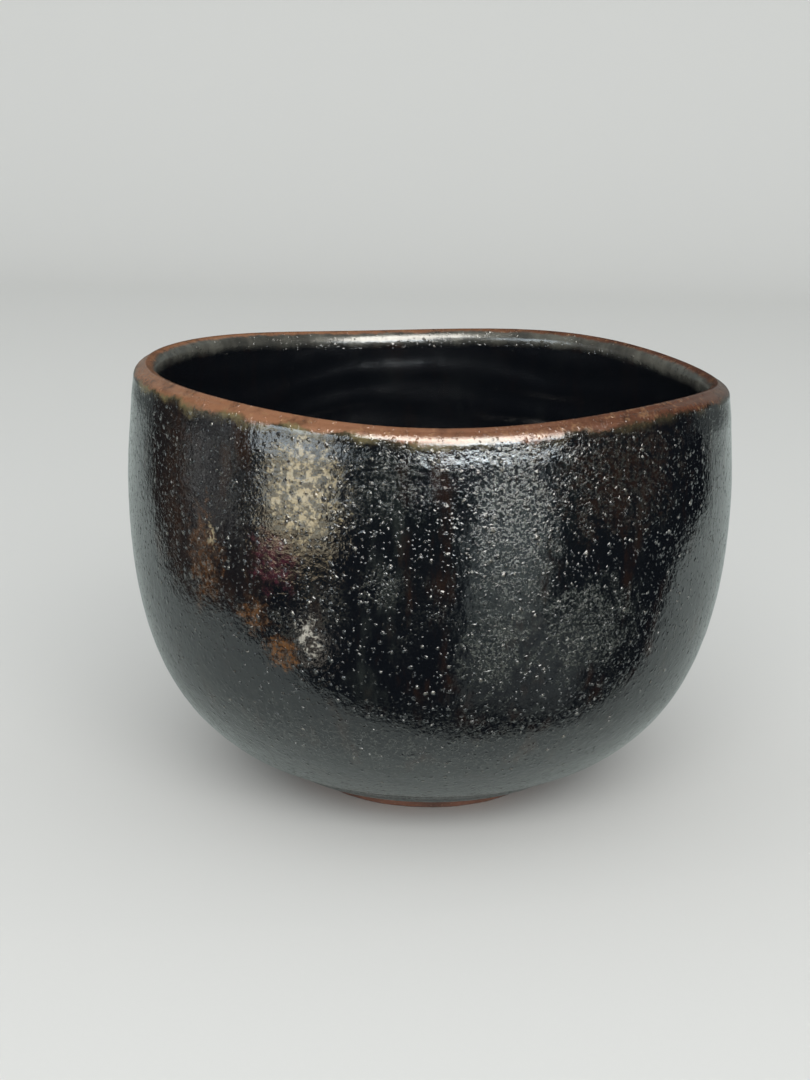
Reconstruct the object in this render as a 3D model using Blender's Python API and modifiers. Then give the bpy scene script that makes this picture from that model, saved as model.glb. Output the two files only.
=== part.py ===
"""A hand-thrown tea bowl: a stoneware body on a foot ring, with its coats of glaze.

Every piece is turned about the Z axis, which runs up the middle of the bowl, and the foot stands on
z = 0. The bowl's finished surface is one line in section. It starts at the middle of the floor, runs
up the inside and over the rim, and comes down the outside to the foot. The coats of glaze follow that
line, and the clay lies a coat's thickness under it. The rim of a thrown bowl isn't level, so the wall
is lifted by a few long waves, more and more towards the rim.

Run it with: blender --background --python part.py
"""

import math

import bpy
import numpy as np
from mathutils import Vector
from mathutils.geometry import interpolate_bezier

MM = 0.001

# The outside
BODY_RADIUS = 60.0 * MM
BODY_RADIUS_HEIGHT = 61.3 * MM
BASE_RADIUS = 27.3 * MM
BASE_HEIGHT = 4.2 * MM
BASE_HANDLE = (53.8 * MM, 10.6 * MM)
BELLY_HANDLE = 27.2 * MM
SHOULDER_HANDLE = 6.7 * MM

# The rim
RIM_HEIGHT = 83.9 * MM
RIM_RADIUS = 56.35 * MM
LIP_HALF_WIDTH = 2.55 * MM
LIP_DROP = 2.3 * MM
LIP_HANDLE = 6.0 * MM
ROUND = 0.5523  # the share of its radius that a Bezier handle takes to draw a quarter circle

# The inside
INSIDE_RADIUS = 54.5 * MM
INSIDE_RADIUS_HEIGHT = 58.0 * MM
INSIDE_HANDLE = 27.0 * MM
FLOOR_RADIUS = 19.0 * MM
FLOOR_HEIGHT = 13.1 * MM
FLOOR_HANDLE = 26.0 * MM
POOL_HEIGHT = 12.2 * MM
POOL_HANDLE = 13.0 * MM
POOL_LIP_HANDLE = 5.0 * MM

# Coats of glaze, and the gap that keeps each piece clear of its neighbour
COAT = 0.8 * MM
GAP = 0.3 * MM
LIP_COAT_OUTSIDE = 4.6 * MM
LIP_COAT_INSIDE = 5.2 * MM
BARE_CLAY = 1.5 * MM
ROLL_BULGE = 0.8 * MM
ROLL_WIDTH = 5.0 * MM

# The foot
FOOT_RADIUS = 24.8 * MM
FOOT_TOP_RADIUS = 26.1 * MM
FOOT_HEIGHT = 4.0 * MM
FOOT_INSIDE_RADIUS = 19.6 * MM
FOOT_INSIDE_TOP_RADIUS = 18.9 * MM
FOOT_BEVEL = 0.7 * MM
SEAT_RADIUS = 26.9 * MM
RECESS_RADIUS = 18.3 * MM
RECESS_HEIGHT = 5.0 * MM
RECESS_CENTRE_HEIGHT = 5.9 * MM

# The waves in the rim: crests round the bowl, height, and the direction of one crest in degrees
RIM_WAVES = (
    (1, 0.67 * MM, 216),
    (2, 0.44 * MM, 2),
    (3, 0.67 * MM, 71),
    (4, 0.52 * MM, 53),
)
LEVEL_BELOW = 22.0 * MM

# How finely the pieces are cut
SEGMENTS = 48
CURVE_POINTS = 120
LONGEST_STEP = 10.0 * MM
SHORTEST_STEP = 0.8 * MM
LARGEST_TURN = math.radians(25)
ROLL_STEPS = 4
SHARP_ANGLE = math.radians(35)

COLLECTION = "matcha_bowl"


def clear_scene():
    for obj in list(bpy.data.objects):
        bpy.data.objects.remove(obj)


def material(name, colour, roughness, coat=0.0):
    made = bpy.data.materials.new(name)
    made.use_nodes = True
    shader = made.node_tree.nodes["Principled BSDF"]
    shader.inputs["Base Color"].default_value = (*colour, 1.0)
    shader.inputs["Roughness"].default_value = roughness
    shader.inputs["Coat Weight"].default_value = coat
    shader.inputs["Metallic"].default_value = 0.0
    return made


def stoneware():
    return material("stoneware", (0.21, 0.085, 0.050), 0.78)


def bare_foot_clay():
    return material("bare_foot_clay", (0.25, 0.100, 0.060), 0.85)


def black_glaze():
    return material("black_glaze", (0.010, 0.011, 0.013), 0.22, coat=0.5)


def inside_black_glaze():
    return material("inside_black_glaze", (0.006, 0.008, 0.012), 0.15, coat=0.5)


def rust_glaze():
    return material("rust_glaze", (0.135, 0.050, 0.024), 0.34, coat=0.2)


def curve(start, start_handle, end_handle, end):
    """Points along one Bezier stretch of the section, each (radius, height)."""
    knots = [Vector(point) for point in (start, start_handle, end_handle, end)]
    return [point[:] for point in interpolate_bezier(*knots, CURVE_POINTS)]


def floor_and_inside():
    """From the middle of the floor, out of the tea pool and up the inside to the lip."""
    pool = (0.0, POOL_HEIGHT)
    pool_edge = (FLOOR_RADIUS, FLOOR_HEIGHT)
    widest = (INSIDE_RADIUS, INSIDE_RADIUS_HEIGHT)
    lip = (RIM_RADIUS - LIP_HALF_WIDTH, RIM_HEIGHT - LIP_DROP)
    return [
        curve(
            pool,
            (POOL_HANDLE, POOL_HEIGHT),
            (FLOOR_RADIUS - POOL_LIP_HANDLE, FLOOR_HEIGHT),
            pool_edge,
        ),
        curve(
            pool_edge,
            (FLOOR_RADIUS + FLOOR_HANDLE, FLOOR_HEIGHT),
            (INSIDE_RADIUS, INSIDE_RADIUS_HEIGHT - INSIDE_HANDLE),
            widest,
        ),
        curve(
            widest,
            (INSIDE_RADIUS, INSIDE_RADIUS_HEIGHT + LIP_HANDLE),
            (lip[0], lip[1] - LIP_HANDLE),
            lip,
        ),
    ]


def lip():
    """Over the rim, as two quarters of an ellipse."""
    shoulder = RIM_HEIGHT - LIP_DROP
    crest = (RIM_RADIUS, RIM_HEIGHT)
    quarters = []
    for side in (-1, 1):
        edge = RIM_RADIUS + side * LIP_HALF_WIDTH
        quarter = curve(
            (edge, shoulder),
            (edge, shoulder + ROUND * LIP_DROP),
            (RIM_RADIUS + side * ROUND * LIP_HALF_WIDTH, RIM_HEIGHT),
            crest,
        )
        quarters.append(quarter if side < 0 else quarter[::-1])
    return quarters


def outside():
    """From the lip down the outside to the base of the wall, beside the foot."""
    edge = (RIM_RADIUS + LIP_HALF_WIDTH, RIM_HEIGHT - LIP_DROP)
    widest = (BODY_RADIUS, BODY_RADIUS_HEIGHT)
    return [
        curve(
            edge,
            (edge[0], edge[1] - LIP_HANDLE),
            (BODY_RADIUS, BODY_RADIUS_HEIGHT + SHOULDER_HANDLE),
            widest,
        ),
        curve(
            widest,
            (BODY_RADIUS, BODY_RADIUS_HEIGHT - BELLY_HANDLE),
            BASE_HANDLE,
            (BASE_RADIUS, BASE_HEIGHT),
        ),
    ]


class Section:
    """The finished surface in section: its points, how far along it each lies, and the way into the clay."""

    def __init__(self):
        stretches = floor_and_inside() + lip() + outside()
        points = stretches[0][:1]
        for stretch in stretches:
            points += stretch[1:]
        self.points = np.array(points)
        steps = np.diff(self.points, axis=0)
        lengths = np.linalg.norm(steps, axis=1)
        self.distance = np.append(0.0, np.cumsum(lengths))
        self.length = self.distance[-1]
        self.rim = self.distance[self.points[:, 1].argmax()]
        self.belly = self.distance[self.points[:, 0].argmax()]
        self.heading = np.unwrap(np.arctan2(steps[:, 1], steps[:, 0]))

    def at(self, distance, depth=0.0):
        """The points that far along the line, sunk to that depth under the finished surface."""
        middles = (self.distance[1:] + self.distance[:-1]) / 2
        heading = np.interp(distance, middles, self.heading)
        radius = np.interp(distance, self.distance, self.points[:, 0])
        height = np.interp(distance, self.distance, self.points[:, 1])
        radius = radius + depth * np.sin(heading)
        height = height - depth * np.cos(heading)
        return np.column_stack([radius, height])

    def stations(self, also):
        """Distances at which every piece gets its points: those given, and others closer where it bends."""
        bend = np.append(0.0, np.cumsum(np.abs(np.diff(self.heading))))
        bend = np.append(bend, bend[-1])
        measure = self.distance / LONGEST_STEP + bend / LARGEST_TURN
        count = math.ceil(measure[-1])
        even = np.interp(np.linspace(0.0, measure[-1], count + 1), measure, self.distance)
        crowded = np.abs(even[:, None] - np.array(also)).min(axis=1) < SHORTEST_STEP
        crowded[[0, -1]] = False
        return np.sort(np.concatenate([even[~crowded], also]))


def on_axis(points):
    """The same points, with the one nearest the axis put exactly on it."""
    points[np.abs(points[:, 0]).argmin(), 0] = 0.0
    return points


def coat_outline(section, stations, start, end, bulge=0.0):
    """A coat of glaze in section: out along its face, and back along the side that lies on the clay."""
    kept = stations[(stations >= start) & (stations <= end)]
    face = section.at(kept, -bulge * roll(kept, end))
    back = section.at(kept[::-1], COAT)
    return np.vstack([face, back])


def roll(stations, end):
    """How far the glaze has run into a thick roll, from 0 to 1, just above its lower edge."""
    share = np.clip((end - stations) / ROLL_WIDTH, 0.0, 1.0)
    return np.sin(math.pi * share) ** 2


def clay_outline(section, stations):
    """The clay in section: under the coats from the floor to the base, then back under the bowl."""
    skin = section.at(stations, COAT + GAP)
    seat = FOOT_HEIGHT + GAP
    underneath = [
        (SEAT_RADIUS, seat),
        (RECESS_RADIUS, seat),
        (RECESS_RADIUS - (RECESS_HEIGHT - seat), RECESS_HEIGHT),
        (RECESS_RADIUS / 2, (RECESS_HEIGHT + RECESS_CENTRE_HEIGHT) / 2),
        (0.0, RECESS_CENTRE_HEIGHT),
    ]
    return np.vstack([skin, underneath])


def foot_outline():
    return [
        (FOOT_TOP_RADIUS, FOOT_HEIGHT),
        (FOOT_RADIUS, 0.0),
        (FOOT_INSIDE_RADIUS, 0.0),
        (FOOT_INSIDE_TOP_RADIUS, FOOT_HEIGHT),
    ]


def turned(name, outline, collection, finish, ends_meet=True):
    """A solid turned from its outline, which runs down its outer side."""
    mesh = bpy.data.meshes.new(name)
    edges = [(index, index + 1) for index in range(len(outline) - 1)]
    if ends_meet:
        edges.append((len(outline) - 1, 0))
    mesh.from_pydata([(radius, 0.0, height) for radius, height in outline], edges, [])
    obj = bpy.data.objects.new(name, mesh)
    collection.objects.link(obj)
    screw = obj.modifiers.new("turn", "SCREW")
    screw.steps = SEGMENTS
    screw.render_steps = SEGMENTS
    screw.use_merge_vertices = True
    screw.merge_threshold = 0.00001
    apply_modifiers(obj)
    obj.data.materials.append(finish)
    return obj


def apply_modifiers(obj):
    graph = bpy.context.evaluated_depsgraph_get()
    made = bpy.data.meshes.new_from_object(obj.evaluated_get(graph))
    obj.modifiers.clear()
    obj.data = made
    made.name = obj.name


def rim_lift(angle):
    """How far the waves lift the rim in that direction, or lower it."""
    return sum(
        height * math.cos(crests * (angle - math.radians(crest)))
        for crests, height, crest in RIM_WAVES
    )


def lift_wall(obj):
    """Lifts the wall by the rim's waves, which fade out down to the level part of the bowl."""
    for vertex in obj.data.vertices:
        share = (vertex.co.z - LEVEL_BELOW) / (RIM_HEIGHT - LEVEL_BELOW)
        share = min(max(share, 0.0), 1.0)
        fade = share * share * (3.0 - 2.0 * share)
        vertex.co.z += fade * rim_lift(math.atan2(vertex.co.y, vertex.co.x))


def shade(obj):
    obj.data.shade_smooth()
    obj.data.set_sharp_from_angle(angle=SHARP_ANGLE)


def make_clay_body(section, stations, collection):
    outline = on_axis(clay_outline(section, stations))
    body = turned("clay_body", outline, collection, stoneware(), ends_meet=False)
    lift_wall(body)
    shade(body)


def make_outer_glaze(section, stations, start, end, collection):
    outline = coat_outline(section, stations, start, end, bulge=ROLL_BULGE)
    coat = turned("outer_glaze", outline, collection, black_glaze())
    lift_wall(coat)
    shade(coat)


def make_inner_glaze(section, stations, end, collection):
    outline = coat_outline(section, stations, 0.0, end)
    outline[[0, -1], 0] = 0.0
    coat = turned("inner_glaze", outline, collection, inside_black_glaze(), ends_meet=False)
    lift_wall(coat)
    shade(coat)


def make_lip_glaze(section, stations, start, end, collection):
    outline = coat_outline(section, stations, start, end)
    coat = turned("lip_glaze", outline, collection, rust_glaze())
    lift_wall(coat)
    shade(coat)


def make_foot_ring(collection):
    foot = turned("foot_ring", foot_outline(), collection, bare_foot_clay())
    bevel = foot.modifiers.new("worn_edges", "BEVEL")
    bevel.width = FOOT_BEVEL
    bevel.segments = 2
    bevel.limit_method = "ANGLE"
    bevel.angle_limit = SHARP_ANGLE
    shade(foot)


def main():
    clear_scene()
    collection = bpy.data.collections.new(COLLECTION)
    bpy.context.scene.collection.children.link(collection)
    section = Section()
    lip_start = section.rim - LIP_COAT_INSIDE
    lip_end = section.rim + LIP_COAT_OUTSIDE
    glaze_end = section.length - BARE_CLAY
    edges = [lip_start - GAP, lip_start, lip_end, lip_end + GAP]
    glaze_roll = np.linspace(glaze_end - ROLL_WIDTH, glaze_end, ROLL_STEPS + 1)
    stations = section.stations([*edges, section.belly, *glaze_roll])
    make_clay_body(section, stations, collection)
    make_foot_ring(collection)
    make_outer_glaze(section, stations, lip_end + GAP, glaze_end, collection)
    make_inner_glaze(section, stations, lip_start - GAP, collection)
    make_lip_glaze(section, stations, lip_start, lip_end, collection)


main()
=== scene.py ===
"""The looks of a hand-thrown tea bowl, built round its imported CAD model.

The CAD pieces give the shape: their points are read from the frame, and one smooth surface is drawn
through them. That surface is cut again into the three coats of glaze, now with the unevenness of a
hand-thrown wall and the skin of an iron glaze, and the clay body and the foot are made to fit.
"""

import math

import bpy
import numpy as np
from mathutils import Matrix, Vector, noise
from mathutils.bvhtree import BVHTree


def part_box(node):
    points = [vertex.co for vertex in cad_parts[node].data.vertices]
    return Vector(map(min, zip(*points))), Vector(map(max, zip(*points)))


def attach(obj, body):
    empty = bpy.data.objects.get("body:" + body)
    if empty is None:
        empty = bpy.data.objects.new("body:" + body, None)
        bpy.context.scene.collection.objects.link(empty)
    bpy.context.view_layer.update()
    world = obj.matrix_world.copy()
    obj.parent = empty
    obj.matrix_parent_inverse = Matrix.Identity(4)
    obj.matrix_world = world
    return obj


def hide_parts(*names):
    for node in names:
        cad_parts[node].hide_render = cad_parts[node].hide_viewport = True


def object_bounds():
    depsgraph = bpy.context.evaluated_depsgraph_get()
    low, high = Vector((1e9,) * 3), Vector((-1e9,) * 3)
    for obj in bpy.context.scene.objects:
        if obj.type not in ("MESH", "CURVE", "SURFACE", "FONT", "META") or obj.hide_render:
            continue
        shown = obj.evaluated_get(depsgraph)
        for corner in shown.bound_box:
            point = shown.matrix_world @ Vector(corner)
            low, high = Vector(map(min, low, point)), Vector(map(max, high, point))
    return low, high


MM = 0.001

# How finely the pieces are cut
CAD_COLUMNS = 48
COLUMNS = 560
INSIDE_ROW = 0.85 * MM
LIP_ROW = 0.36 * MM
OUTSIDE_ROW = 0.68 * MM
BACK_ROWS = 10

# The glaze and the clay under it
FACE_DEPTH = 0.7 * MM  # a coat's vertex further than this from the clay is on its face
COAT_BACK = 1.25 * MM
CLAY_DEPTH = 1.1 * MM
DRIP_WAVE = 0.65 * MM
DRIP_REACH = 7.0 * MM
BEAD = 1.1 * MM
BEAD_ROWS = 7

# Unevenness: how tall, and how long from crest to crest
HAND_SWELL = 0.16 * MM
HAND_SWELL_WIDTH = 24.0 * MM
HAND_SWELL_LENGTH = 70.0 * MM
THROWING_RING = 0.008 * MM
THROWING_RING_LENGTH = 4.2 * MM
INSIDE_RING = 0.12 * MM
INSIDE_RING_LENGTH = 7.0 * MM
PEEL = 0.028 * MM
PEEL_LENGTH = 2.1 * MM
LIP_ROUNDING = 0.5 * MM
LIP_ROUNDING_START = 2.2 * MM
LIP_ROUNDING_END = 9.0 * MM
HAND_SWELL_AT_LIP = 0.25  # the share of the swell, and below of the peel, that reaches the crest
PEEL_AT_LIP = 0.4
SWELL_FADE = 9.0 * MM
OUTSIDE_FADE = 6.0 * MM
INSIDE_FADE = 12.0 * MM
RING_WANDER = 30.0 * MM

# The foot
FOOT_TOP = 5.0 * MM
FOOT_EDGE = 0.8 * MM
FOOT_GROOVE = 0.10 * MM
FOOT_GROOVE_LENGTH = 1.3 * MM
CLAY_GRAIN = 0.05 * MM
CLAY_GRAIN_LENGTH = 0.9 * MM
TRIM_RING = 0.10 * MM
TRIM_RING_LENGTH = 2.6 * MM
RECESS_RADIUS = 18.3 * MM
FOOT_STEP = 0.3 * MM
CLAY_STEP = 0.42 * MM
SKIN_STEP = 3.2 * MM

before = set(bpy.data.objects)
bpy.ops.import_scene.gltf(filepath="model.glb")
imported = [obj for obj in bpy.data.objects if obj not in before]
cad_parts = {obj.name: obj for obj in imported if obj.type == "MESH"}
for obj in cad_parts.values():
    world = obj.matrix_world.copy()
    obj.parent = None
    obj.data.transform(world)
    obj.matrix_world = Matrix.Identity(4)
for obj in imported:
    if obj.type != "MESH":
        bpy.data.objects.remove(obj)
cad_low, cad_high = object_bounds()
bowl_width = cad_high.x - cad_low.x


# ---------------------------------------------------------------- reading the CAD


def cad_points(name):
    """The different vertices of a CAD node."""
    found = np.array([vertex.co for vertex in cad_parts[name].data.vertices])
    return np.unique(found.round(6), axis=0)


def clay_tree():
    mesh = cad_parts["clay_body"].data
    corners = [vertex.co for vertex in mesh.vertices]
    return BVHTree.FromPolygons(corners, [polygon.vertices for polygon in mesh.polygons])


def face_points(name, clay):
    """The vertices on the finished side of a coat, which is its side away from the clay."""
    points = cad_points(name)
    away = np.array([clay.find_nearest(Vector(point))[3] for point in points])
    return points[away > FACE_DEPTH]


def columns_of(points, order):
    """The section at each of the CAD's directions, as (column, point, (radius, height))."""
    radius = np.hypot(points[:, 0], points[:, 1])
    turn = np.arctan2(points[:, 1], points[:, 0]) / (2 * math.pi) * CAD_COLUMNS
    column = np.round(turn).astype(int) % CAD_COLUMNS
    on_axis = radius < 0.1 * MM
    sections = []
    for index in range(CAD_COLUMNS):
        mine = (column == index) | on_axis
        section = np.column_stack([radius[mine], points[mine, 2]])
        sections.append(section[np.argsort(order(section))])
    return np.array(sections)


def up_the_inside(section):
    top = section[:, 1].max()
    return np.arctan2(section[:, 0], top - section[:, 1] + 1 * MM)


def over_the_lip(section):
    middle = (section[:, 0].max() + section[:, 0].min()) / 2
    return np.arctan2(section[:, 1] - section[:, 1].min() + 0.1 * MM, middle - section[:, 0])


def down_the_outside(section):
    top = section[:, 1].max()
    return np.arctan2(top - section[:, 1], section[:, 0])


def spline_slopes(knots, values):
    """Second derivatives of the natural cubic spline through the values at the knots."""
    count = len(knots)
    step = np.diff(knots)
    system = np.eye(count)
    right = np.zeros((count, values.shape[1]))
    for row in range(1, count - 1):
        system[row, row - 1 : row + 2] = step[row - 1], 2 * (step[row - 1] + step[row]), step[row]
        rise = (values[row + 1] - values[row]) / step[row]
        right[row] = 6 * (rise - (values[row] - values[row - 1]) / step[row - 1])
    return np.linalg.solve(system, right)


class Surface:
    """The bowl's finished surface, smooth in both directions, from the middle of its floor to its base."""

    def __init__(self):
        clay = clay_tree()
        inside = columns_of(face_points("inner_glaze", clay), up_the_inside)
        lip = columns_of(face_points("lip_glaze", clay), over_the_lip)
        outside = columns_of(face_points("outer_glaze", clay), down_the_outside)
        sections = np.concatenate([inside, lip, outside], axis=1)
        mean = sections.mean(axis=0)
        steps = np.linalg.norm(np.diff(mean, axis=0), axis=1)
        self.knots = np.append(0.0, np.cumsum(steps))
        self.lip_start = self.knots[inside.shape[1] - 1 : inside.shape[1] + 1].mean()
        ends_lip = inside.shape[1] + lip.shape[1]
        self.lip_end = self.knots[ends_lip - 1 : ends_lip + 1].mean()
        self.end = self.knots[-1]
        self.crest = self.knots[mean[:, 1].argmax()]
        waves = np.fft.rfft(sections, axis=0)
        smooth = np.fft.irfft(waves, n=COLUMNS, axis=0) * COLUMNS / CAD_COLUMNS
        values = smooth.transpose(1, 0, 2).reshape(len(self.knots), -1)
        self.values = values
        self.slopes = spline_slopes(self.knots, values)
        self.angles = np.arange(COLUMNS) * 2 * math.pi / COLUMNS

    def section(self, distance):
        """(radius, height) of every column at each distance along the section: (rows, columns, 2)."""
        distance = np.clip(distance, 0.0, self.end)
        after = np.clip(np.searchsorted(self.knots, distance, side="right"), 1, len(self.knots) - 1)
        step = (self.knots[after] - self.knots[after - 1])[:, None]
        right = (distance - self.knots[after - 1])[:, None] / step
        left = 1 - right
        bend = (left**3 - left) * self.slopes[after - 1] + (right**3 - right) * self.slopes[after]
        line = left * self.values[after - 1] + right * self.values[after]
        return (line + bend * step**2 / 6).reshape(len(distance), COLUMNS, 2)

    def wall_point(self, azimuth, level):
        """The point of the outside wall in that direction, at that share of the bowl's height."""
        rows = self.points(np.linspace(self.lip_end, self.end, 200))
        turn = math.radians(azimuth - 90)
        column = rows[:, round(turn / (2 * math.pi) * COLUMNS) % COLUMNS]
        return column[np.abs(column[:, 2] - level * cad_high.z).argmin()].tolist()

    def points(self, distance):
        section = self.section(distance)
        radius = section[:, :, 0]
        return np.stack(
            [radius * np.cos(self.angles), radius * np.sin(self.angles), section[:, :, 1]], axis=2
        )


# ---------------------------------------------------------------- mesh helpers


def normals_of(grid):
    """Unit normals of a grid of points, (rows, columns, 3), that closes round its columns."""
    wrapped = np.concatenate([grid[:, -1:], grid, grid[:, :1]], axis=1)
    across = (wrapped[:, 2:] - wrapped[:, :-2]) / 2
    down = np.gradient(grid, axis=0)
    normal = np.cross(across, down)
    length = np.linalg.norm(normal, axis=2, keepdims=True)
    return normal / np.maximum(length, 1e-12)


def noise_on(points, across, along, seed):
    """Smooth noise from -1 to 1 at each point, with its features that wide and that tall."""
    scaled = points / np.array([across, across, along]) + seed
    flat = [noise.noise(point) for point in scaled.reshape(-1, 3).tolist()]
    return np.array(flat).reshape(points.shape[:-1])


def swell(distance, reach):
    """0 at zero and rising smoothly to 1 at reach."""
    share = np.clip(distance / reach, 0.0, 1.0)
    return share * share * (3 - 2 * share)


def closed_mesh(name, grid, pole_first, pole_last):
    """A solid from a grid of points whose columns close round the axis.

    With a pole the first or last row is one point on the axis. Without poles the last row joins the
    first, so that the section is a closed loop.
    """
    rows = len(grid)
    vertices = []
    starts = []
    for row in range(rows):
        starts.append(len(vertices))
        pole = (row == 0 and pole_first) or (row == rows - 1 and pole_last)
        if pole:
            vertices.append(grid[row].mean(axis=0).tolist())
        else:
            vertices.extend(grid[row].tolist())
    faces = []
    bands = [(row, row + 1) for row in range(rows - 1)]
    if not (pole_first or pole_last):
        bands.append((rows - 1, 0))
    for upper, lower in bands:
        for column in range(COLUMNS):
            beside = (column + 1) % COLUMNS
            if upper == 0 and pole_first:
                faces.append((starts[0], starts[lower] + column, starts[lower] + beside))
            elif lower == rows - 1 and pole_last:
                faces.append((starts[lower], starts[upper] + beside, starts[upper] + column))
            else:
                faces.append(
                    (
                        starts[upper] + column,
                        starts[lower] + column,
                        starts[lower] + beside,
                        starts[upper] + beside,
                    )
                )
    mesh = bpy.data.meshes.new(name)
    mesh.from_pydata(vertices, [], faces)
    mesh.update()
    mesh.shade_smooth()
    return mesh, starts


def add_piece(name, mesh, material, node):
    piece = bpy.data.objects.new(name, mesh)
    bpy.context.scene.collection.objects.link(piece)
    mesh.materials.append(material)
    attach(piece, "root")
    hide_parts(node)
    return piece


def give_values(mesh, name, values):
    """Stores one number per vertex, which the material reads by that name."""
    attribute = mesh.attributes.new(name, "FLOAT", "POINT")
    attribute.data.foreach_set("value", np.asarray(values, np.float32))


# ---------------------------------------------------------------- coats of glaze


def uneven(points, normals, distance, surface):
    """The finished surface with its hand-made swell, rings and skin, moved along its normals."""
    from_crest = (distance - surface.crest)[:, None]
    away = swell(np.abs(from_crest), SWELL_FADE)
    outside = swell(from_crest, OUTSIDE_FADE)
    inside = swell(-from_crest, INSIDE_FADE)
    hand = HAND_SWELL * noise_on(points, HAND_SWELL_WIDTH, HAND_SWELL_LENGTH, 3.7)
    peel = PEEL * noise_on(points, PEEL_LENGTH, PEEL_LENGTH, 11.3)
    wander = 0.35 * noise_on(points, RING_WANDER, RING_WANDER, 5.1)
    height = points[:, :, 2]
    rings = np.sin(2 * math.pi * (height / THROWING_RING_LENGTH + wander))
    inner_rings = np.sin(2 * math.pi * (height / INSIDE_RING_LENGTH + 2 * wander))
    lift = hand * (HAND_SWELL_AT_LIP + (1 - HAND_SWELL_AT_LIP) * away)
    lift = lift + peel * (PEEL_AT_LIP + (1 - PEEL_AT_LIP) * away)
    lift = lift + THROWING_RING * rings * outside + INSIDE_RING * inner_rings * inside
    lift = lift - lip_rounding(from_crest)
    return points + normals * lift[:, :, None]


def lip_rounding(from_crest):
    """How far the outside of the lip is drawn in, below the rust."""
    reach = LIP_ROUNDING_END - LIP_ROUNDING_START
    start = swell(from_crest, 1 * MM)
    return LIP_ROUNDING * start * (1 - swell(from_crest - LIP_ROUNDING_START, reach))


def drip_line(surface):
    """How far the lower edge of the outside glaze wanders, column by column."""
    circle = np.stack([np.cos(surface.angles), np.sin(surface.angles), 0 * surface.angles], axis=1)
    long_waves = noise_on(circle, 0.45, 0.45, 21.7)
    short_waves = noise_on(circle, 0.13, 0.13, 8.9)
    return DRIP_WAVE * (long_waves + 0.35 * short_waves)


def rows_between(start, end, spacing):
    return np.linspace(start, end, max(2, round((end - start) / spacing) + 1))


def make_coat(name, node, slot, material, surface, face, normals, distance, rounded_end):
    """A closed coat: its face, its lower edge rounded or square, and its back in the clay."""
    edge = rounded_edge(face, normals) if rounded_end else np.zeros((0, COLUMNS, 3))
    back_rows = np.linspace(len(face) - 1, 0, BACK_ROWS).round().astype(int)
    back = face[back_rows] - COAT_BACK * normals[back_rows]
    pole = distance[0] <= 0.0
    if pole:
        back[-1] = [0.0, 0.0, back[-1, :, 2].mean()]
    mesh, starts = closed_mesh(name, np.concatenate([face, edge, back]), pole, pole)
    spread = np.concatenate([distance, np.full(len(edge), distance[-1]), distance[back_rows]])
    per_row = np.diff(starts + [len(mesh.vertices)])
    give_values(mesh, "from_crest", np.repeat(spread - surface.crest, per_row))
    set_normals(mesh, starts, normals, pole, len(face))
    add_piece(name, mesh, material, node)


def rounded_edge(face, normals):
    """Rows that turn the lower edge of a coat down into the clay as a quarter round."""
    onward = face[-1] - face[-2]
    onward = onward / np.linalg.norm(onward, axis=1, keepdims=True)
    turns = np.linspace(0, math.pi / 2, BEAD_ROWS)[1:]
    return np.array(
        [
            face[-1] + BEAD * (math.sin(turn) * 0.8 * onward - (1 - math.cos(turn)) * normals[-1])
            for turn in turns
        ]
    )


def set_normals(mesh, starts, normals, pole, face_rows):
    """Gives the face the normals of the whole surface, so that the coats meet without a seam."""
    own = np.zeros(len(mesh.vertices) * 3)
    mesh.vertices.foreach_get("normal", own)
    own = own.reshape(-1, 3)
    first = 1 if pole else 0
    for row in range(first, face_rows):
        own[starts[row] : starts[row] + COLUMNS] = normals[row]
    mesh.normals_split_custom_set_from_vertices(own.tolist())


def make_coats(surface, black, rust, inner):
    """The three coats, cut from one uneven surface."""
    inside = rows_between(0.0, surface.lip_start, INSIDE_ROW)
    lip = rows_between(surface.lip_start, surface.lip_end, LIP_ROW)
    outside = rows_between(surface.lip_end, surface.end, OUTSIDE_ROW)
    distance = np.concatenate([inside, lip[1:], outside[1:]])
    points = surface.points(distance)
    near_base = swell(distance - (surface.end - DRIP_REACH), DRIP_REACH)
    points = slide(points, near_base, drip_line(surface))
    smooth_normals = outward(normals_of(points))
    face = uneven(points, smooth_normals, distance, surface)
    normals = outward(normals_of(face))
    lip_at = len(inside) - 1
    outside_at = lip_at + len(lip) - 1
    parts = [
        ("inner_coat", "inner_glaze", "black_iron_glaze", inner, slice(0, lip_at + 1), False),
        ("lip_coat", "lip_glaze", "rust_lip_glaze", rust, slice(lip_at, outside_at + 1), False),
        ("outer_coat", "outer_glaze", "black_iron_glaze", black, slice(outside_at, None), True),
    ]
    for name, node, slot, material, rows, rounded in parts:
        cut = face[rows], normals[rows], distance[rows]
        make_coat(name, node, slot, material, surface, *cut, rounded)


def outward(normals):
    """The same normals, turned if need be so that the outside ones point away from the axis."""
    return normals if normals[-1, 0, 2] < 0 else -normals


def slide(points, share, drip):
    """Moves the rows near the lower edge along the surface by the wander of the drip line."""
    along = np.gradient(points, axis=0)
    along = along / np.maximum(np.linalg.norm(along, axis=2, keepdims=True), 1e-12)
    return points + along * (share[:, None] * drip)[:, :, None]


# ---------------------------------------------------------------- clay


def turned_grid(outline):
    """A grid of points from an outline of (radius, height), the same in every direction."""
    angles = np.arange(COLUMNS) * 2 * math.pi / COLUMNS
    radius = np.array([point[0] for point in outline])[:, None]
    height = np.array([point[1] for point in outline])[:, None]
    return np.stack(
        [radius * np.cos(angles), radius * np.sin(angles), height + 0 * angles], axis=2
    )


def along_line(points, spacing):
    """Points every so often along a line through the ones given."""
    points = np.array(points)
    lengths = np.linalg.norm(np.diff(points, axis=0), axis=1)
    distance = np.append(0.0, np.cumsum(lengths))
    at = rows_between(0.0, distance[-1], spacing)
    return np.column_stack([np.interp(at, distance, points[:, axis]) for axis in (0, 1)])


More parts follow.
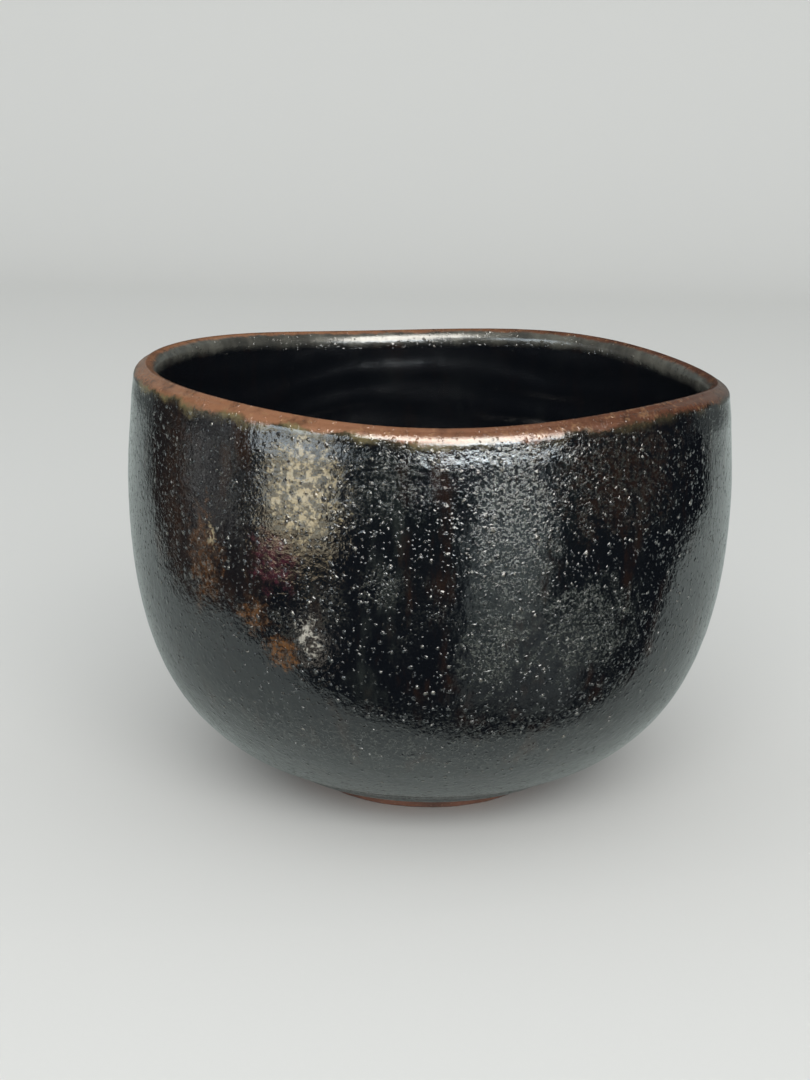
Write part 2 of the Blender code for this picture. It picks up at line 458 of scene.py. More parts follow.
def grainy(grid, normals, ring, ring_length, seed):
    """Turning grooves and the grain of the clay on a grid."""
    radius = np.hypot(grid[:, :, 0], grid[:, :, 1])
    turn = np.arctan2(grid[:, :, 1], grid[:, :, 0]) / (2 * math.pi)
    wander = 0.25 * noise_on(grid, 14 * MM, 14 * MM, seed)
    way = (radius + grid[:, :, 2]) / ring_length + turn + wander
    grooves = ring * np.sin(2 * math.pi * way)
    fine = CLAY_GRAIN * noise_on(grid, CLAY_GRAIN_LENGTH, CLAY_GRAIN_LENGTH, seed + 2)
    coarse = 0.08 * MM * noise_on(grid, 5 * MM, 5 * MM, seed + 4)
    return grid + normals * (grooves + fine + coarse)[:, :, None]


def make_clay_body(surface, material):
    """The clay: a plain skin under the glaze, and a worked underside inside and beside the foot."""
    points = surface.points(rows_between(0.0, surface.end, SKIN_STEP))
    skin = points - CLAY_DEPTH * outward(normals_of(points))
    skin[0] = [0.0, 0.0, skin[0, :, 2].mean()]
    under = turned_grid(along_line(underside(skin[-1]), CLAY_STEP)[1:])
    normals = -np.abs(normals_of(under)) * [0, 0, 1]
    fade = swell(np.arange(len(under)) * 1.0, 3.0)[:, None, None]
    worked = under + (grainy(under, normals, TRIM_RING, TRIM_RING_LENGTH, 31.0) - under) * fade
    worked[-1] = [0.0, 0.0, worked[-1, :, 2].mean()]
    mesh, _ = closed_mesh("thrown_body", np.concatenate([skin, worked]), True, True)
    add_piece("thrown_body", mesh, material, "clay_body")


def underside(skin_end):
    """The outline, as (radius, height), from the end of the skin to the middle of the recess."""
    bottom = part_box("clay_body")[0].z
    base_radius = float(np.hypot(skin_end[:, 0], skin_end[:, 1]).mean())
    base_height = float(skin_end[:, 2].mean())
    seat_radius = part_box("foot_ring")[1].x + 0.8 * MM
    return [
        (base_radius, base_height),
        (seat_radius, bottom + 0.15 * MM),
        (seat_radius - 0.6 * MM, bottom),
        (RECESS_RADIUS, bottom),
        (RECESS_RADIUS - 0.8 * MM, bottom + 0.75 * MM),
        (RECESS_RADIUS / 2, bottom + 1.15 * MM),
        (0.0, bottom + 1.6 * MM),
    ]


def make_foot(material):
    """The foot ring: its edges worn round, its sides grooved by the turning tool."""
    low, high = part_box("foot_ring")
    outline, middle_radius = foot_outline(low.z, high.z)
    fine = along_line(outline, FOOT_STEP)
    grid = turned_grid(fine)
    normals = normals_of(grid)
    middle = turned_grid([(middle_radius, (low.z + high.z) / 2)])
    if ((grid - middle) * normals).sum() < 0:
        normals = -normals
    worked = grainy(grid, normals, FOOT_GROOVE, FOOT_GROOVE_LENGTH, 47.0)
    worked[:, :, 2] = np.maximum(worked[:, :, 2], low.z)
    cap = turned_grid(along_line([fine[-1], fine[0]], 1.5 * MM)[1:-1])
    mesh, _ = closed_mesh("bare_foot", np.concatenate([worked, cap]), False, False)
    add_piece("bare_foot", mesh, material, "foot_ring")


def foot_outline(bottom, top):
    """The foot's section as (radius, height), from its outer side under it to its inner side."""
    points = cad_points("foot_ring")
    radius = np.hypot(points[:, 0], points[:, 1])
    low_ones = radius[points[:, 2] < bottom + 0.1 * MM]
    high_ones = radius[points[:, 2] > top - 0.1 * MM]
    outer, inner = low_ones.max(), low_ones.min()
    outer_top, inner_top = high_ones.max(), high_ones.min()
    outline = [(outer_top + 0.5 * MM, FOOT_TOP), (outer_top + 0.25 * MM, top + 0.1 * MM)]
    outline += [(outer_top, top - 0.6 * MM)]
    outline += worn_edge(outer - FOOT_EDGE, bottom + FOOT_EDGE, 0)
    outline += worn_edge(inner + FOOT_EDGE, bottom + FOOT_EDGE, 90)
    outline += [(inner_top, top - 0.4 * MM), (inner_top - 0.4 * MM, top + 0.1 * MM)]
    outline += [(inner_top - 0.4 * MM, FOOT_TOP)]
    return outline, (outer + inner) / 2


def worn_edge(radius, height, start):
    """A quarter circle of points round that centre, from start degrees below the horizontal."""
    turns = [math.radians(turn) for turn in range(start, start + 91, 15)]
    return [
        (radius + FOOT_EDGE * math.cos(turn), height - FOOT_EDGE * math.sin(turn))
        for turn in turns
    ]


# ---------------------------------------------------------------- materials


class Nodes:
    """Short ways to add and link the nodes of one material."""

    def __init__(self, name):
        self.material = bpy.data.materials.new(name)
        self.material.use_nodes = True
        self.tree = self.material.node_tree
        self.shader = self.tree.nodes["Principled BSDF"]

    def add(self, kind, inputs=(), **settings):
        """A node with its settings. inputs maps a socket to a number, a colour or another socket."""
        node = self.tree.nodes.new("ShaderNode" + kind)
        for key, value in settings.items():
            setattr(node, key, value)
        for key, value in dict(inputs).items():
            self.put(node.inputs[key], value)
        return node

    def put(self, socket, value):
        if isinstance(value, bpy.types.NodeSocket):
            self.tree.links.new(value, socket)
        else:
            socket.default_value = value

    def math(self, operation, first, second=0.0):
        return self.add("Math", {0: first, 1: second}, operation=operation).outputs[0]

    def times(self, *factors):
        product = factors[0]
        for factor in factors[1:]:
            product = self.math("MULTIPLY", product, factor)
        return product

    def plus(self, *terms):
        total = terms[0]
        for term in terms[1:]:
            total = self.math("ADD", total, term)
        return total

    def coordinates(self):
        return self.add("TexCoord").outputs["Object"]

    def stretched(self, scale):
        """Object coordinates in millimetres, stretched by those scales."""
        scale = tuple(1000 * part for part in scale)
        mapping = self.add("Mapping", {"Vector": self.coordinates(), "Scale": scale})
        return mapping.outputs["Vector"]

    def noise(self, vector, wavelength, detail=2.0, roughness=0.5):
        """Noise with features about that many millimetres across, from 0 to 1."""
        inputs = {
            "Vector": vector,
            "Scale": 1.0 / wavelength,
            "Detail": detail,
            "Roughness": roughness,
        }
        return self.add("TexNoise", inputs).outputs["Fac"]

    def range(self, value, low, high, to_low=0.0, to_high=1.0, smooth=True):
        """value carried from low..high to to_low..to_high, and held at the ends."""
        inputs = {
            "Value": value,
            "From Min": low,
            "From Max": high,
            "To Min": to_low,
            "To Max": to_high,
        }
        kind = "SMOOTHSTEP" if smooth else "LINEAR"
        return self.add("MapRange", inputs, interpolation_type=kind).outputs["Result"]

    def mix(self, share, first, second):
        node = self.add("Mix", data_type="RGBA")
        self.put(node.inputs["Factor"], share)
        self.put(node.inputs[6], first)
        self.put(node.inputs[7], second)
        return node.outputs[2]


def colour(red, green, blue):
    return (red, green, blue, 1.0)


BLACK = colour(0.0035, 0.0043, 0.0058)
BROWN = colour(0.018, 0.009, 0.006)
GREY_GREEN = colour(0.024, 0.028, 0.025)
# The pale colour of some pimples: partly crystal, partly painted glints
CRYSTAL_AND_GLINT = colour(0.145, 0.136, 0.110)
FINE_CRYSTAL = colour(0.058, 0.062, 0.052)
LOW_CRYSTAL = colour(0.085, 0.090, 0.080)
LUSTRE = colour(0.105, 0.072, 0.042)
# TAN and CREAM paint pale spots: partly crystal, partly painted glints and painted window reflection
TAN = colour(0.27, 0.22, 0.135)
CREAM = colour(0.38, 0.36, 0.31)
ORANGE = colour(0.100, 0.042, 0.012)
PLUM = colour(0.042, 0.010, 0.017)
RUST_LEFT = colour(0.235, 0.108, 0.056)
RUST_RIGHT = colour(0.095, 0.038, 0.021)
RUST_PALE = colour(0.30, 0.17, 0.085)
HALO = colour(0.19, 0.155, 0.075)
INSIDE_BAND = colour(0.115, 0.112, 0.092)
CLAY = colour(0.20, 0.080, 0.045)
CLAY_DARK = colour(0.085, 0.036, 0.022)
CLAY_SAND = colour(0.34, 0.19, 0.115)

# Patches that the glaze shows on its front: colour, strength, how much fine crystal, direction in
# degrees from the camera's side towards +X, share of the bowl's height, half-width and half-height in mm
PATCHES = (
    (LUSTRE, 0.10, 0.15, -20.5, 0.84, 7.0, 12.0),
    (LUSTRE, 0.12, 0.25, -20.0, 0.54, 1.7, 2.6),
    (ORANGE, 1.00, 0.30, -26.0, 0.49, 3.0, 3.0),
    (ORANGE, 0.80, 0.30, -31.0, 0.56, 2.6, 2.8),
    (ORANGE, 0.60, 0.30, -42.0, 0.66, 3.5, 7.5),
    (PLUM, 1.00, 0.10, -26.5, 0.69, 3.6, 5.0),
    (BROWN, 0.70, 0.20, -50.0, 0.80, 4.0, 15.0),
    (GREY_GREEN, 0.50, 0.70, 14.0, 0.78, 7.0, 16.0),
    (GREY_GREEN, 0.50, 0.75, 12.0, 0.52, 5.5, 9.0),
    (GREY_GREEN, 0.40, 0.75, 28.0, 0.55, 9.0, 8.0),
    (BROWN, 0.60, 0.35, 33.0, 0.88, 14.0, 9.0),
    (GREY_GREEN, 0.30, 0.35, -6.0, 0.88, 7.0, 7.0),
)

# Spots painted pale, partly crystals standing close together and partly painted glints and a painted
# reflection of the warm window: colour, and place and size as above
CRYSTAL_AND_GLINT_SPOTS = (
    (TAN, -21.5, 0.84, 5.8, 8.5),
    (CREAM, -19.7, 0.535, 1.9, 3.2),
    (TAN, -39.7, 0.715, 1.0, 2.6),
)

GLAZE_IOR = 1.72


def pimples(n, vector, spacing, share, smallest, largest):
    """Little domes in the glaze, as (height from 0 to 1, the random numbers of each dome)."""
    inputs = {"Vector": vector, "Scale": 1.0 / spacing}
    cells = n.add("TexVoronoi", inputs, feature="F1")
    chosen = n.add("SeparateColor", {0: cells.outputs["Color"]}).outputs
    size = n.range(chosen[1], 0.0, 1.0, smallest / spacing, largest / spacing, smooth=False)
    dome = n.range(cells.outputs["Distance"], 0.0, size, 1.0, 0.0)
    some = n.math("LESS_THAN", chosen[0], share)
    tall = n.range(chosen[2], 0.0, 1.0, 0.4, 1.0, smooth=False)
    return n.times(dome, some, tall), chosen


def jittered(n, vector, amount):
    """Coordinates in millimetres, pushed about a little, so that round shapes come out uneven."""
    push = n.add("TexNoise", {"Vector": vector, "Scale": 1.4, "Detail": 2.0}).outputs["Color"]
    centred = n.add("VectorMath", {0: push, 1: (0.5, 0.5, 0.5)}, operation="SUBTRACT").outputs[0]
    scaled = n.add("VectorMath", {0: centred, "Scale": amount}, operation="SCALE").outputs[0]
    return n.add("VectorMath", {0: vector, 1: scaled}, operation="ADD").outputs[0]


class Glaze(Nodes):
    """Black iron glaze with rust at the rim. It is one recipe for every coat, so that they meet.

    crystals and streaks say how much of each there is (crystals also scales the pale pimples, which are
    partly painted glints), and relief how uneven the skin is.
    """

    def __init__(self, name, surface, crystals, streaks, roughness, pimple_height, relief):
        super().__init__(name)
        self.even = self.stretched((1, 1, 1))
        self.tall = self.stretched((1, 1, 0.3))
        self.rough_places = jittered(self, self.even, 0.9)
        self.place = self.add("SeparateXYZ", {0: self.coordinates()}).outputs
        crest = self.add("Attribute", attribute_name="from_crest").outputs["Fac"]
        self.crest_mm = self.times(crest, 1000.0)
        self.big, self.chosen = pimples(self, self.rough_places, 1.30, 0.62, 0.28, 0.58)
        self.small, _ = pimples(self, self.rough_places, 0.70, 0.42, 0.18, 0.34)
        body = self.melt(streaks)
        body, fine = self.crystals_and_patches(body, surface, crystals)
        body = self.crystal_and_glint_pimples(body, crystals)
        body, thin = self.rim(body)
        self.put(self.shader.inputs["Base Color"], body)
        self.put(self.shader.inputs["Roughness"], self.dullness(roughness, fine, thin))
        self.shader.inputs["IOR"].default_value = GLAZE_IOR
        skin = self.skin(fine, pimple_height, relief)
        made = self.add("Bump", {"Height": skin, "Strength": 1.0, "Distance": MM})
        self.put(self.shader.inputs["Normal"], made.outputs["Normal"])

    def melt(self, streaks):
        """Black, drawn out into brown and grey-green streaks."""
        brown = self.range(self.noise(self.tall, 5.0, 5.0, 0.65), 0.52, 0.74, 0.0, 0.8 * streaks)
        green = self.range(self.noise(self.tall, 7.0, 6.0, 0.68), 0.55, 0.75, 0.0, 0.6 * streaks)
        return self.mix(green, self.mix(brown, BLACK, BROWN), GREY_GREEN)

    def patch(self, surface, azimuth, level, width, height, ragged):
        """1 within an oval on the wall and 0 outside it, with a ragged edge."""
        centre = surface.wall_point(azimuth, level)
        scale = (1 / (width * MM), 1 / (width * MM), 1 / (height * MM))
        shift = tuple(-middle * stretch for middle, stretch in zip(centre, scale))
        inputs = {"Vector": self.coordinates(), "Scale": scale, "Location": shift}
        oval = self.add("Mapping", inputs).outputs["Vector"]
        away = self.add("VectorMath", {0: oval}, operation="LENGTH").outputs["Value"]
        return self.range(self.plus(away, ragged), 0.55, 1.35, 1.0, 0.0)

    def crystals_and_patches(self, body, surface, crystals):
        """Patches where crystals have grown and where the iron shows, pale spots that are partly crystals
        and partly painted glints, and how much fine crystal.
        """
        wavy = self.noise(self.even, 2.6, 6.0, 0.85)
        ragged = self.range(wavy, 0.28, 0.72, -1.1, 1.1, smooth=False)
        mottle = self.range(self.noise(self.rough_places, 1.2, 3.0, 0.7), 0.40, 0.60, 0.20, 1.0)
        growth = self.range(self.noise(self.even, 15.0, 4.0, 0.6), 0.52, 0.72, 0.0, 0.45)
        low_down = self.range(self.place["Z"], 0.024, 0.038, 0.4, 0.0)
        growth = self.math("MAXIMUM", growth, low_down)
        for shade, strength, amount, *where in PATCHES:
            inside = self.patch(surface, *where, ragged)
            body = self.mix(self.times(inside, strength, mottle), body, shade)
            growth = self.math("MAXIMUM", growth, self.times(inside, amount))
        # Pale spots: partly crystals, partly painted glints and painted reflection of the warm window
        crystal_and_glint_spots = self.range(self.noise(self.rough_places, 1.1, 4.0, 0.65), 0.46, 0.58)
        for shade, *where in CRYSTAL_AND_GLINT_SPOTS:
            inside = self.patch(surface, *where, ragged)
            body = self.mix(self.times(crystal_and_glint_spots, inside), body, shade)
        fine = self.range(self.noise(self.rough_places, 0.55, 3.0, 0.7), 0.49, 0.62)
        fine = self.times(fine, growth, crystals)
        shade = self.mix(self.times(low_down, 2.5), FINE_CRYSTAL, LOW_CRYSTAL)
        return self.mix(fine, body, shade), fine

    def crystal_and_glint_pimples(self, body, crystals):
        """Some of the bigger pimples are crystals, and their pale colour also stands in for painted
        glints.
        """
        pale = self.range(self.big, 0.30, 0.55, 0.0, crystals)
        return self.mix(self.times(pale, self.range(self.chosen[2], 0.60, 1.0, 0.0, 0.8)), body, CRYSTAL_AND_GLINT)

    def rim(self, body):
        """Where the glaze is thin: rust over the lip with a pale fringe, and a grey band inside it."""
        drips = self.range(self.noise(self.even, 6.5, 2.0), 0.25, 0.75, -1.1, 1.1, smooth=False)
        fray = self.noise(self.even, 0.9, 3.0, 0.65)
        fray = self.range(fray, 0.25, 0.75, -0.6, 0.6, smooth=False)
        wander = self.plus(drips, fray)
        outside_edge = self.plus(self.crest_mm, wander)
        inside_edge = self.plus(self.crest_mm, self.times(wander, 0.4))
        band_start = self.range(inside_edge, -5.2, -3.2, 0.0, 1.0)
        band = self.times(band_start, self.range(self.crest_mm, -1.4, -0.4, 1.0, 0.0))
        band_share = self.range(self.noise(self.tall, 7.0, 4.0, 0.6), 0.35, 0.7, 0.35, 0.95)
        body = self.mix(self.times(band, band_share), body, INSIDE_BAND)
        halo = self.times(
            self.range(outside_edge, 3.6, 5.6, 1.0, 0.0),
            self.range(outside_edge, 0.0, 2.6, 0.0, 1.0),
            self.range(self.noise(self.even, 5.0, 4.0), 0.38, 0.62, 0.15, 0.80),
            self.range(self.place["X"], -0.015, 0.02, 1.0, 0.2),
        )
        body = self.mix(halo, body, HALO)
        rusty = self.times(
            self.range(outside_edge, 2.7, 4.1, 1.0, 0.0),
            self.range(inside_edge, -1.9, -1.0, 0.0, 1.0),
        )
        return self.mix(rusty, body, self.rust()), self.math("MAXIMUM", rusty, band)

    def rust(self):
        """Orange-brown on the left, darker on the right, with dark and pale blotches."""
        rust = self.mix(self.range(self.place["X"], -0.03, 0.045), RUST_LEFT, RUST_RIGHT)
        dark = self.range(self.noise(self.even, 5.0, 5.0, 0.65), 0.46, 0.72, 0.0, 0.65)
        paler = self.range(self.noise(self.rough_places, 1.6, 4.0, 0.7), 0.52, 0.66, 0.0, 0.45)
        return self.mix(paler, self.mix(dark, rust, BROWN), RUST_PALE)

    def dullness(self, roughness, fine, thin):
        """Duller where crystals have grown, and where the glaze is thin."""
        rough = self.range(self.noise(self.even, 7.0, 3.0), 0.3, 0.7, roughness, roughness + 0.06)
        return self.plus(rough, self.times(fine, 0.22), self.times(thin, 0.12))

    def skin(self, fine, pimple_height, relief):
        """The skin's height in millimetres."""
        rugged = self.range(self.place["X"], -0.028, 0.010, 0.06 * relief, 0.03 * relief)
        return self.plus(
            self.times(self.noise(self.even, 1.6, 3.0, 0.6), 0.08 * relief),
            self.times(self.noise(self.rough_places, 0.95, 2.0, 0.5), rugged),
            self.times(self.noise(self.tall, 0.75, 2.0, 0.6), 0.03 * relief),
            self.times(self.big, pimple_height),
            self.times(self.small, 0.40 * pimple_height),
            self.times(fine, 0.03),
        )


def stoneware(name):
    """Bare iron-rich stoneware: sandy, reddish brown and toasted darker in places."""
    n = Nodes(name)
    even = n.stretched((1, 1, 1))
    toast = n.range(n.noise(even, 12.0, 4.0, 0.6), 0.35, 0.7)
    body = n.mix(toast, CLAY, CLAY_DARK)
    sand = n.range(n.noise(even, 0.7, 3.0, 0.7), 0.56, 0.72, 0.0, 0.6)
    body = n.mix(sand, body, CLAY_SAND)
    cells = n.add("TexVoronoi", {"Vector": even, "Scale": 1.0 / 1.9}, feature="F1")
    chosen = n.add("SeparateColor", {0: cells.outputs["Color"]}).outputs
    iron = n.range(cells.outputs["Distance"], 0.08, 0.17, 1.0, 0.0)
    iron = n.times(iron, n.math("LESS_THAN", chosen[0], 0.3))
    body = n.mix(iron, body, BLACK)
    n.put(n.shader.inputs["Base Color"], body)
    n.put(n.shader.inputs["Roughness"], n.range(sand, 0.0, 0.6, 0.86, 0.7))
    grain = n.noise(even, 0.35, 4.0, 0.7)
    made = n.add("Bump", {"Height": grain, "Strength": 1.0, "Distance": 0.16 * MM})
    n.put(n.shader.inputs["Normal"], made.outputs["Normal"])
    return n.material


# ---------------------------------------------------------------- stage

FLOOR = colour(0.62, 0.615, 0.59)
MIRRORED = colour(0.655, 0.715, 0.675)
FLOOR_REACH = 1.1
FLOOR_FRONT = -1.3
SWEEP_RADIUS = 0.35
BACKDROP_HEIGHT = 1.3
MIRRORED_LIFT = 0.2 * MM
SHARP_EDGE = 0.003
SOFTEST_LEFT = 0.050
SOFTEST_RIGHT = 0.016


def matt(n):
    n.shader.inputs["Roughness"].default_value = 0.9
    n.shader.inputs["Specular IOR Level"].default_value = 0.1
    return n.material


def pale_floor():
    n = Nodes("pale_floor")
    n.shader.inputs["Base Color"].default_value = FLOOR
    return matt(n)


def mirrored_floor():
    """What shiny things see of the floor, with painted light and shade: pale near the bowl and to the
    sides, darker far off and right behind it.
    """
    n = Nodes("mirrored_floor")
    place = n.add("SeparateXYZ", {0: n.coordinates()}).outputs
    away = n.add("VectorMath", {0: n.coordinates()}, operation="LENGTH").outputs["Value"]
    across = n.math("ABSOLUTE", place["X"])
    narrow = n.math("SUBTRACT", across, n.times(place["Y"], 0.17))
    # Painted shade right behind the bowl
    behind = n.times(n.range(place["Y"], 0.080, 0.100), n.range(narrow, 0.045, 0.075, 0.9, 0.0))
    blotches = n.noise(n.stretched((1, 1, 1)), 14.0, 4.0, 0.6)
    # Painted light and shade: a soft front edge, painted shade behind and far off, random blotches,
    # painted light near the bowl and to the sides
    pale = n.times(
        n.add("Attribute", attribute_name="from_edge").outputs["Fac"],
        n.math("SUBTRACT", 1.0, behind),
        n.range(away, 0.42, 0.65, 1.0, 0.3),
        n.range(blotches, 0.3, 0.7, 0.64, 0.76, smooth=False),
        n.range(away, 0.042, 0.072, 1.5, 1.0),
        n.range(across, 0.12, 0.22, 1.0, 1.3),
    )
    n.put(n.shader.inputs["Base Color"], n.mix(pale, BLACK, MIRRORED))
    return matt(n)


def stage_object(name, vertices, faces, material):
    mesh = bpy.data.meshes.new(name)
    mesh.from_pydata(vertices, [], faces)
    mesh.materials.append(material)
    mesh.shade_smooth()
    made = bpy.data.objects.new(name, mesh)
    bpy.context.scene.collection.objects.link(made)
    return made


# The belly mirrors the floor only behind this line, which lies close in front of the bowl
MIRRORED_EDGE = (
    (-1.300, 0.620),
    (-0.600, 0.370),
    (-0.410, 0.250),
    (-0.290, 0.130),
    (-0.210, 0.055),
    (-0.148, -0.010),
    (-0.135, -0.055),
    (-0.090, -0.075),
    (-0.045, -0.077),
    (-0.005, -0.071),
    (0.035, -0.057),
    (0.095, -0.031),
    (0.165, -0.012),
    (0.230, 0.030),
    (0.300, 0.150),
    (0.600, 0.300),
    (1.300, 0.350),
)


def smooth_line(points, steps):
    """A smooth line through the points, which are in order of their first coordinate."""
    points = np.array(points)
    lengths = np.linalg.norm(np.diff(points, axis=0), axis=1)
    way = np.append(0.0, np.cumsum(np.sqrt(lengths)))
    second = spline_slopes(way, points)
    made = []
    for at in np.linspace(0, way[-1], steps):
        left = min(int(np.searchsorted(way, at, side="right")) - 1, len(points) - 2)
        step = way[left + 1] - way[left]
        share = (at - way[left]) / step
        keep = 1 - share
        bend = (keep**3 - keep) * second[left] + (share**3 - share) * second[left + 1]
        made.append(keep * points[left] + share * points[left + 1] + bend * step**2 / 6)
    return made


def sweep_rows(line, lift):
    """Rows of points from the line back along the floor and up the backdrop."""
    reach = FLOOR_REACH - lift
    rows = [[(x, reach - SWEEP_RADIUS, lift) for x, _ in line]]
    for step in range(1, 13):
        turn = math.radians(90 * step / 12)
        y = reach - SWEEP_RADIUS + SWEEP_RADIUS * math.sin(turn)
        z = lift + SWEEP_RADIUS * (1 - math.cos(turn))
        rows.append([(x, y, z) for x, _ in line])
    rows.append([(x, reach, BACKDROP_HEIGHT) for x, _ in line])
    return rows


def sheet(name, rows, material):
    """A stage surface through rows of points."""
    count = len(rows[0])
    vertices = [vertex for row in rows for vertex in row]
    faces = [
        (row * count + i, row * count + i + 1, (row + 1) * count + i + 1, (row + 1) * count + i)
        for row in range(len(rows) - 1)
        for i in range(count - 1)
    ]
    return stage_object(name, vertices, faces, material)


def make_floor():
    """The floor, sweeping up into the backdrop, and the part of it that shiny things mirror."""
    edge = smooth_line(MIRRORED_EDGE, 120)
    front = [(x, FLOOR_FRONT, 0.0) for x, _ in edge]
    seen = sheet("floor_and_backdrop", [front] + sweep_rows(edge, 0.0), pale_floor())
    seen.visible_glossy = False
    rows = [[(x, y, MIRRORED_LIFT) for x, y in edge]]
    rows.append([(x, y + edge_width(x), MIRRORED_LIFT) for x, y in edge])
    rows += sweep_rows(edge, MIRRORED_LIFT)
    mirrored = sheet("mirrored_floor", rows, mirrored_floor())
    fade = np.ones(len(rows) * len(edge))
    fade[: len(edge)] = 0.0
    give_values(mirrored.data, "from_edge", fade)
    only_mirrored(mirrored)


def edge_width(x):
    """How softly the mirrored floor ends: sharply in front, gently at the sides."""
    widest = SOFTEST_LEFT if x < 0 else SOFTEST_RIGHT
    return SHARP_EDGE + widest * float(swell(np.array(abs(x) - 0.12), 0.23))


def only_mirrored(made):
    made.visible_camera = False
    made.visible_diffuse = False
    made.visible_shadow = False
    made.visible_transmission = False
    made.visible_volume_scatter = False


def glow(name, low, high, strength, speckle=0.0, turns=1.0, blotches=5.0):
    """A light's surface, broken up by soft noise. Its colour is high from that share of its height up."""
    material = bpy.data.materials.new(name)
    material.use_nodes = True
    tree = material.node_tree
    tree.nodes.clear()
    generated = tree.nodes.new("ShaderNodeTexCoord").outputs["Generated"]
    split = tree.nodes.new("ShaderNodeSeparateXYZ")
    tree.links.new(generated, split.inputs[0])
    ramp = tree.nodes.new("ShaderNodeMix")
    ramp.data_type = "RGBA"
    ramp.inputs[6].default_value = low
    ramp.inputs[7].default_value = high
    up = tree.nodes.new("ShaderNodeMapRange")
    up.inputs["From Max"].default_value = turns
    tree.links.new(split.outputs["Z"], up.inputs["Value"])
    tree.links.new(up.outputs["Result"], ramp.inputs["Factor"])
    noisy = tree.nodes.new("ShaderNodeTexNoise")
    noisy.inputs["Scale"].default_value = blotches
    noisy.inputs["Detail"].default_value = 4.0
    tree.links.new(generated, noisy.inputs["Vector"])
    level = tree.nodes.new("ShaderNodeMapRange")
    level.inputs["From Min"].default_value = 0.35
    level.inputs["From Max"].default_value = 0.65
    level.inputs["To Min"].default_value = strength * (1 - speckle)
    level.inputs["To Max"].default_value = strength
    tree.links.new(noisy.outputs["Fac"], level.inputs["Value"])
    light = tree.nodes.new("ShaderNodeEmission")
    tree.links.new(ramp.outputs[2], light.inputs["Color"])
    tree.links.new(level.outputs["Result"], light.inputs["Strength"])
    out = tree.nodes.new("ShaderNodeOutputMaterial")
    tree.links.new(light.outputs[0], out.inputs["Surface"])
    return material


CARD_DISTANCE = 1.0
CARD_CENTRE = Vector((0.0, 0.0, 0.05))


def card(name, azimuth, elevation, material, wobble=0.0):
    """A patch of a big sphere round the bowl that only reflections see.

    azimuth is (from, to) in degrees from the camera's side towards +X, and elevation is (from, to).
    """
    columns = 24
    rows = 24
    vertices = []
    for row in range(rows + 1):
        for column in range(columns + 1):
            across = column / columns
            up = row / rows
            ripple = noise.noise(Vector((7 * across, 7 * up, len(name)))) * wobble
            turn = math.radians(azimuth[0] + (azimuth[1] - azimuth[0]) * across + ripple)
            tilt = math.radians(elevation[0] + (elevation[1] - elevation[0]) * up + ripple)
            away = Vector(
                (
                    math.sin(turn) * math.cos(tilt),
                    -math.cos(turn) * math.cos(tilt),
                    math.sin(tilt),
                )
            )
            vertices.append(CARD_CENTRE + CARD_DISTANCE * away)
    wide = columns + 1
    faces = [
        (row * wide + i, row * wide + i + 1, (row + 1) * wide + i + 1, (row + 1) * wide + i)
        for row in range(rows)
        for i in range(columns)
    ]
    only_mirrored(stage_object(name, vertices, faces, material))


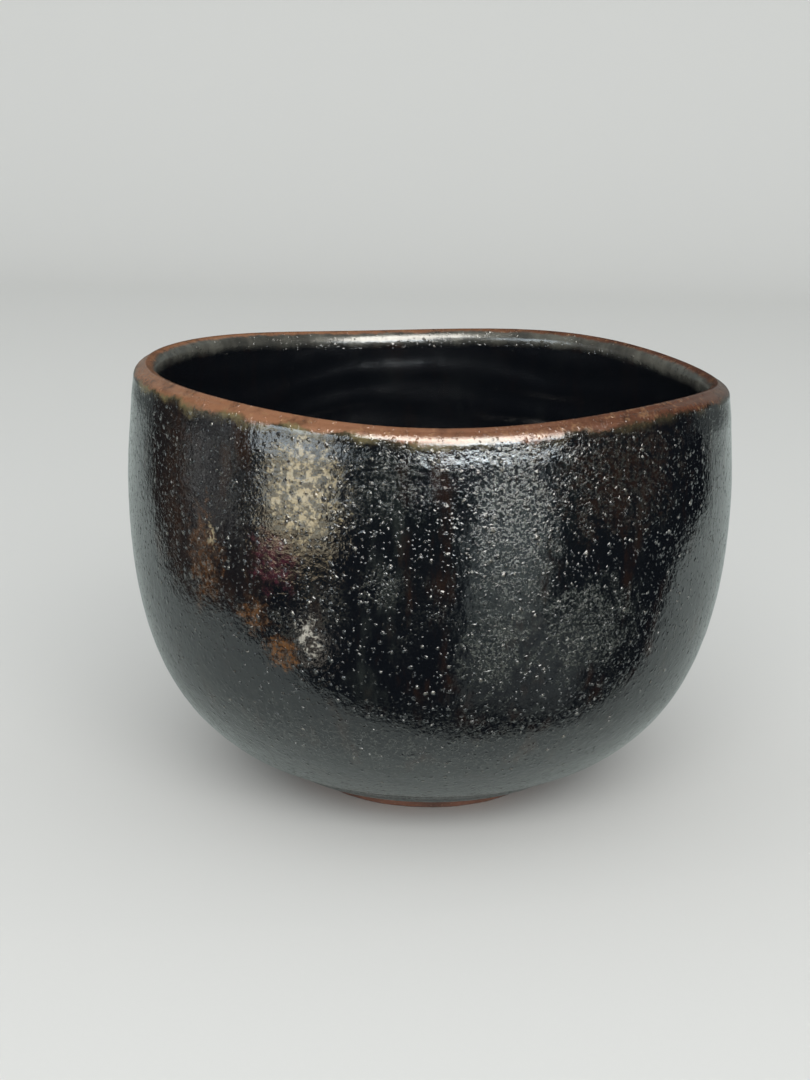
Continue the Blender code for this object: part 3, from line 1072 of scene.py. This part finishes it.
def make_lights():
    warm_low = colour(1.0, 0.72, 0.40)
    warm_high = colour(1.0, 0.95, 0.74)
    gold = glow("gold_glow", warm_low, warm_high, 4.2, 0.97, 0.5, 6.0)
    card("gold_window", (-58, -34), (-13, 0), gold, 6.0)
    pale_blue = glow("blue_glow", colour(0.88, 0.96, 1.0), colour(0.72, 0.88, 1.0), 8.0, 0.97, 1.0, 7.0)
    card("blue_window", (-62, -30), (0, 22), pale_blue, 5.0)
    tall = glow("tall_glow", colour(0.80, 0.92, 1.0), colour(1.0, 0.96, 0.88), 17.0, 0.5, 0.3)
    card("tall_window", (-3, 46), (6, 58), tall, 1.5)
    card("lip_window", (-24, -3), (30, 58), tall, 1.5)
    sky = glow("sky_glow", colour(1.0, 0.97, 0.88), colour(1.0, 0.97, 0.88), 10.0, 0.7)
    card("sky_window", (-32, 36), (59, 73), sky, 3.0)
    dim = glow("dim_glow", colour(0.80, 0.90, 0.84), colour(0.78, 0.92, 1.0), 0.8, 0.6)
    card("dim_strip", (14, 43), (-26, -3), dim, 1.5)
    faint = glow("faint_glow", colour(0.85, 0.92, 0.88), colour(0.80, 0.92, 0.95), 0.35, 0.6)
    card("faint_strip", (14, 70), (-50, -26), faint, 3.0)
    side = glow("side_glow", colour(1.0, 0.62, 0.42), colour(1.0, 0.78, 0.62), 0.13, 0.9)
    card("left_room", (-122, -62), (-24, 24), side, 2.0)
    streak = glow("streak_glow", colour(0.95, 0.95, 0.90), colour(0.88, 0.94, 1.0), 1.8, 0.97, 1.0, 7.0)
    card("left_streak", (-96, -74), (-15, 20), streak, 4.0)
    spot = glow("spot_glow", colour(1.0, 0.85, 0.65), colour(1.0, 0.98, 0.92), 2.0, 0.9)
    card("low_spot", (-50, -41), (-35, -28), spot, 4.0)

    window = bpy.data.lights.new("soft_window", "AREA")
    window.shape = "RECTANGLE"
    window.size = 1.4
    window.size_y = 0.9
    window.energy = 16.0
    made = bpy.data.objects.new("soft_window", window)
    made.location = (0.1, -1.15, 0.75)
    made.rotation_euler = (math.radians(60), 0.0, math.radians(5))
    made.visible_glossy = False
    bpy.context.scene.collection.objects.link(made)

    world = bpy.data.worlds.new("studio")
    bpy.context.scene.world = world
    world.use_nodes = True
    background = world.node_tree.nodes["Background"]
    background.inputs["Color"].default_value = colour(0.93, 0.97, 1.0)
    background.inputs["Strength"].default_value = 0.85
    world.cycles_visibility.glossy = False


# ---------------------------------------------------------------- camera


def make_camera():
    """The photograph's view: close to the bowl, a little above its rim, looking slightly down."""
    scene = bpy.context.scene
    data = bpy.data.cameras.new("camera")
    data.lens = 60.0
    data.sensor_width = 36.0
    data.clip_start = 0.01
    camera = bpy.data.objects.new("camera", data)
    scene.collection.objects.link(camera)
    place = Matrix.Translation(Vector((0.0, -2.9422, 1.2033)) * bowl_width)
    yaw = Matrix.Rotation(math.radians(0.75), 4, "Z")
    pitch = Matrix.Rotation(math.radians(90 - 15.24), 4, "X")
    roll = Matrix.Rotation(math.radians(1.05), 4, "Z")
    camera.matrix_world = place @ yaw @ pitch @ roll
    scene.camera = camera
    scene.view_settings.view_transform = "Standard"


# ---------------------------------------------------------------- the whole bowl


def make_bowl():
    surface = Surface()
    black = Glaze("black_iron_glaze", surface, 1.0, 1.0, 0.07, 0.34, 1.0).material
    inner = Glaze("black_inner_glaze", surface, 0.05, 0.2, 0.12, 0.012, 0.3).material
    rust = Glaze("rust_lip_glaze", surface, 0.8, 1.0, 0.07, 0.22, 0.7).material
    clay = stoneware("stoneware_clay")
    make_coats(surface, black, rust, inner)
    make_clay_body(surface, clay)
    make_foot(clay)


make_bowl()
make_floor()
make_lights()
make_camera()
